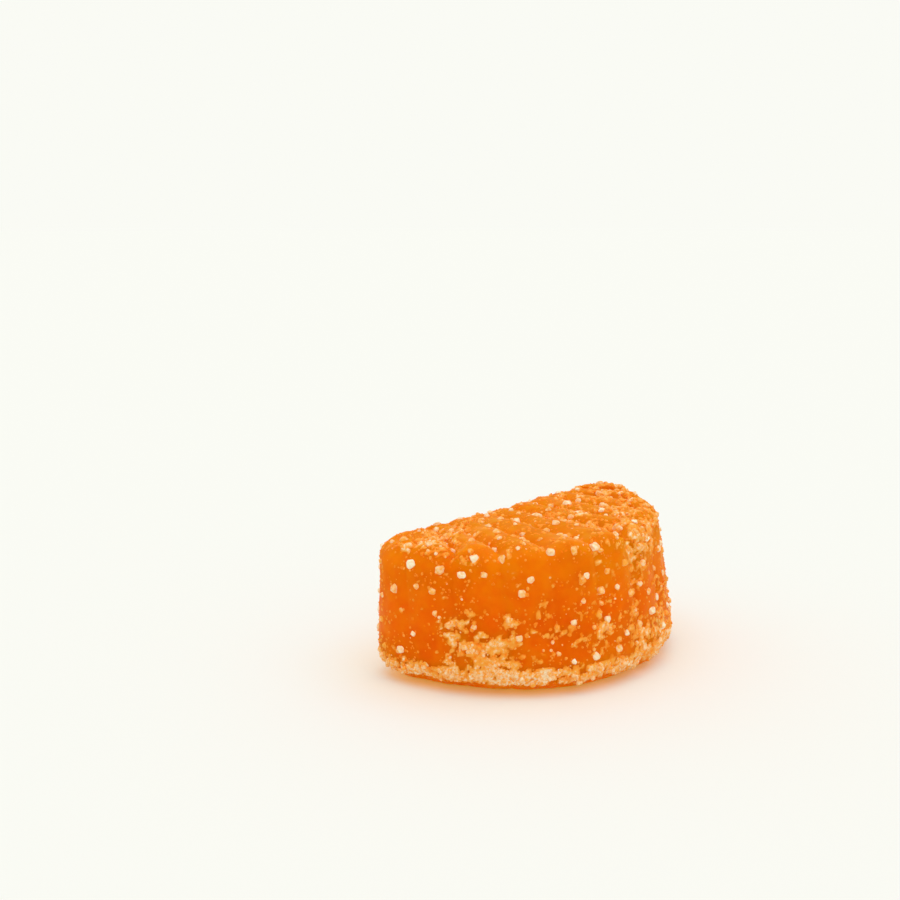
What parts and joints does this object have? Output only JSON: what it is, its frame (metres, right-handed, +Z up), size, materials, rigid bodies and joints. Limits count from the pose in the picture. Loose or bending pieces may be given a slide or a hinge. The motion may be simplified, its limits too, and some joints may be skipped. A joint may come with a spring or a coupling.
{
  "type": "gummy candy",
  "caption": "Soft orange-slice jelly sweet: a thick half-moon with ribs fanned over its top, fluted rim, smooth straight side and coarse sugar all over.",
  "frame": {"origin": "middle of the flat resting face, under the middle of the half-moon's bounding box", "axes": "+X along the straight side, tip to tip; -Y out of the middle of the round rim, +Y out of the straight side; +Z up from the flat face to the ribbed top"},
  "size_m": [0.0399, 0.023, 0.0178],
  "materials": {
    "jelly": "translucent orange jelly with a damp satin skin",
    "sugar": "clear to milky sugar crystals, tinted by the orange under them"
  },
  "bodies": {
    "root": {"gummy": "jelly"}
  },
  "joints": []
}
